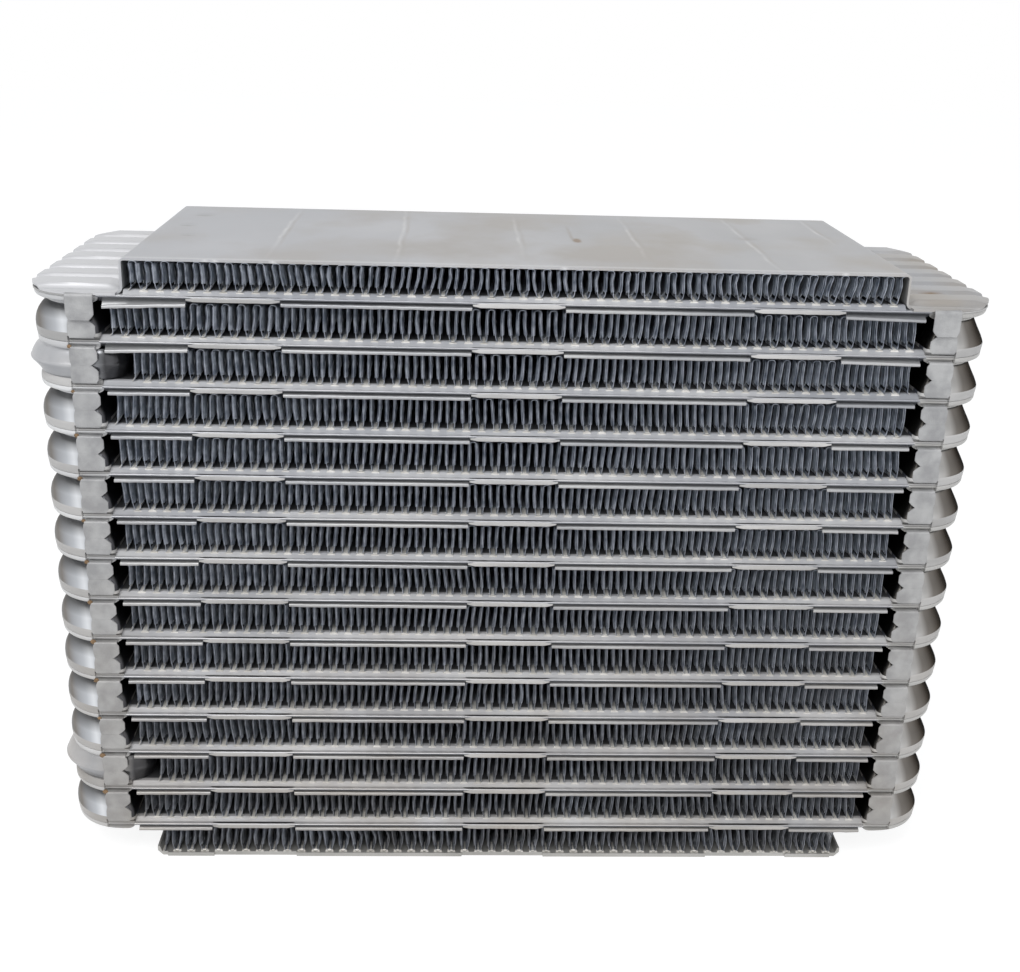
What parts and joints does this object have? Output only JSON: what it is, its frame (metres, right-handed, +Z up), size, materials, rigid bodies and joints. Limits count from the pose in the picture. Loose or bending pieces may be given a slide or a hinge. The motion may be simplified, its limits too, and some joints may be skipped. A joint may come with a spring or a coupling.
{
  "type": "evaporator core",
  "caption": "Plate-and-fin evaporator core: stamped plate tubes with drawn tank cups at both ends, folded fins between them, side plates and two stub pipes at the rear.",
  "frame": {"origin": "middle of the underside of the bottom side plate, which the core stands on", "axes": "+X along the tubes, to the right seen from the front; +Y to the rear, the way the stub pipes point; +Z up to the top side plate"},
  "size_m": [0.2596, 0.1083, 0.1792],
  "materials": {
    "fin_foil": "dull rolled foil",
    "tube_plate": "satin, brazed, with flux stains",
    "side_plate": "satin, brazed",
    "port_fitting": "satin, brazed"
  },
  "bodies": {
    "root": {"bottom_side_plate": "side_plate", "fin_row_01": "fin_foil", "fin_row_02": "fin_foil", "fin_row_03": "fin_foil", "fin_row_04": "fin_foil", "fin_row_05": "fin_foil", "fin_row_06": "fin_foil", "fin_row_07": "fin_foil", "fin_row_08": "fin_foil", "fin_row_09": "fin_foil", "fin_row_10": "fin_foil", "fin_row_11": "fin_foil", "fin_row_12": "fin_foil", "fin_row_13": "fin_foil", "fin_row_14": "fin_foil", "fin_row_15": "fin_foil", "inlet_port_collar": "port_fitting", "inlet_stub_pipe": "port_fitting", "outlet_port_collar": "port_fitting", "outlet_stub_pipe": "port_fitting", "top_side_plate": "side_plate", "tube_01_lower_plate": "tube_plate", "tube_01_upper_plate": "tube_plate", "tube_02_lower_plate": "tube_plate", "tube_02_upper_plate": "tube_plate", "tube_03_lower_plate": "tube_plate", "tube_03_upper_plate": "tube_plate", "tube_04_lower_plate": "tube_plate", "tube_04_upper_plate": "tube_plate", "tube_05_lower_plate": "tube_plate", "tube_05_upper_plate": "tube_plate", "tube_06_lower_plate": "tube_plate", "tube_06_upper_plate": "tube_plate", "tube_07_lower_plate": "tube_plate", "tube_07_upper_plate": "tube_plate", "tube_08_lower_plate": "tube_plate", "tube_08_upper_plate": "tube_plate", "tube_09_lower_plate": "tube_plate", "tube_09_upper_plate": "tube_plate", "tube_10_lower_plate": "tube_plate", "tube_10_upper_plate": "tube_plate", "tube_11_lower_plate": "tube_plate", "tube_11_upper_plate": "tube_plate", "tube_12_lower_plate": "tube_plate", "tube_12_upper_plate": "tube_plate", "tube_13_lower_plate": "tube_plate", "tube_13_upper_plate": "tube_plate", "tube_14_lower_plate": "tube_plate", "tube_14_upper_plate": "tube_plate"}
  },
  "joints": []
}
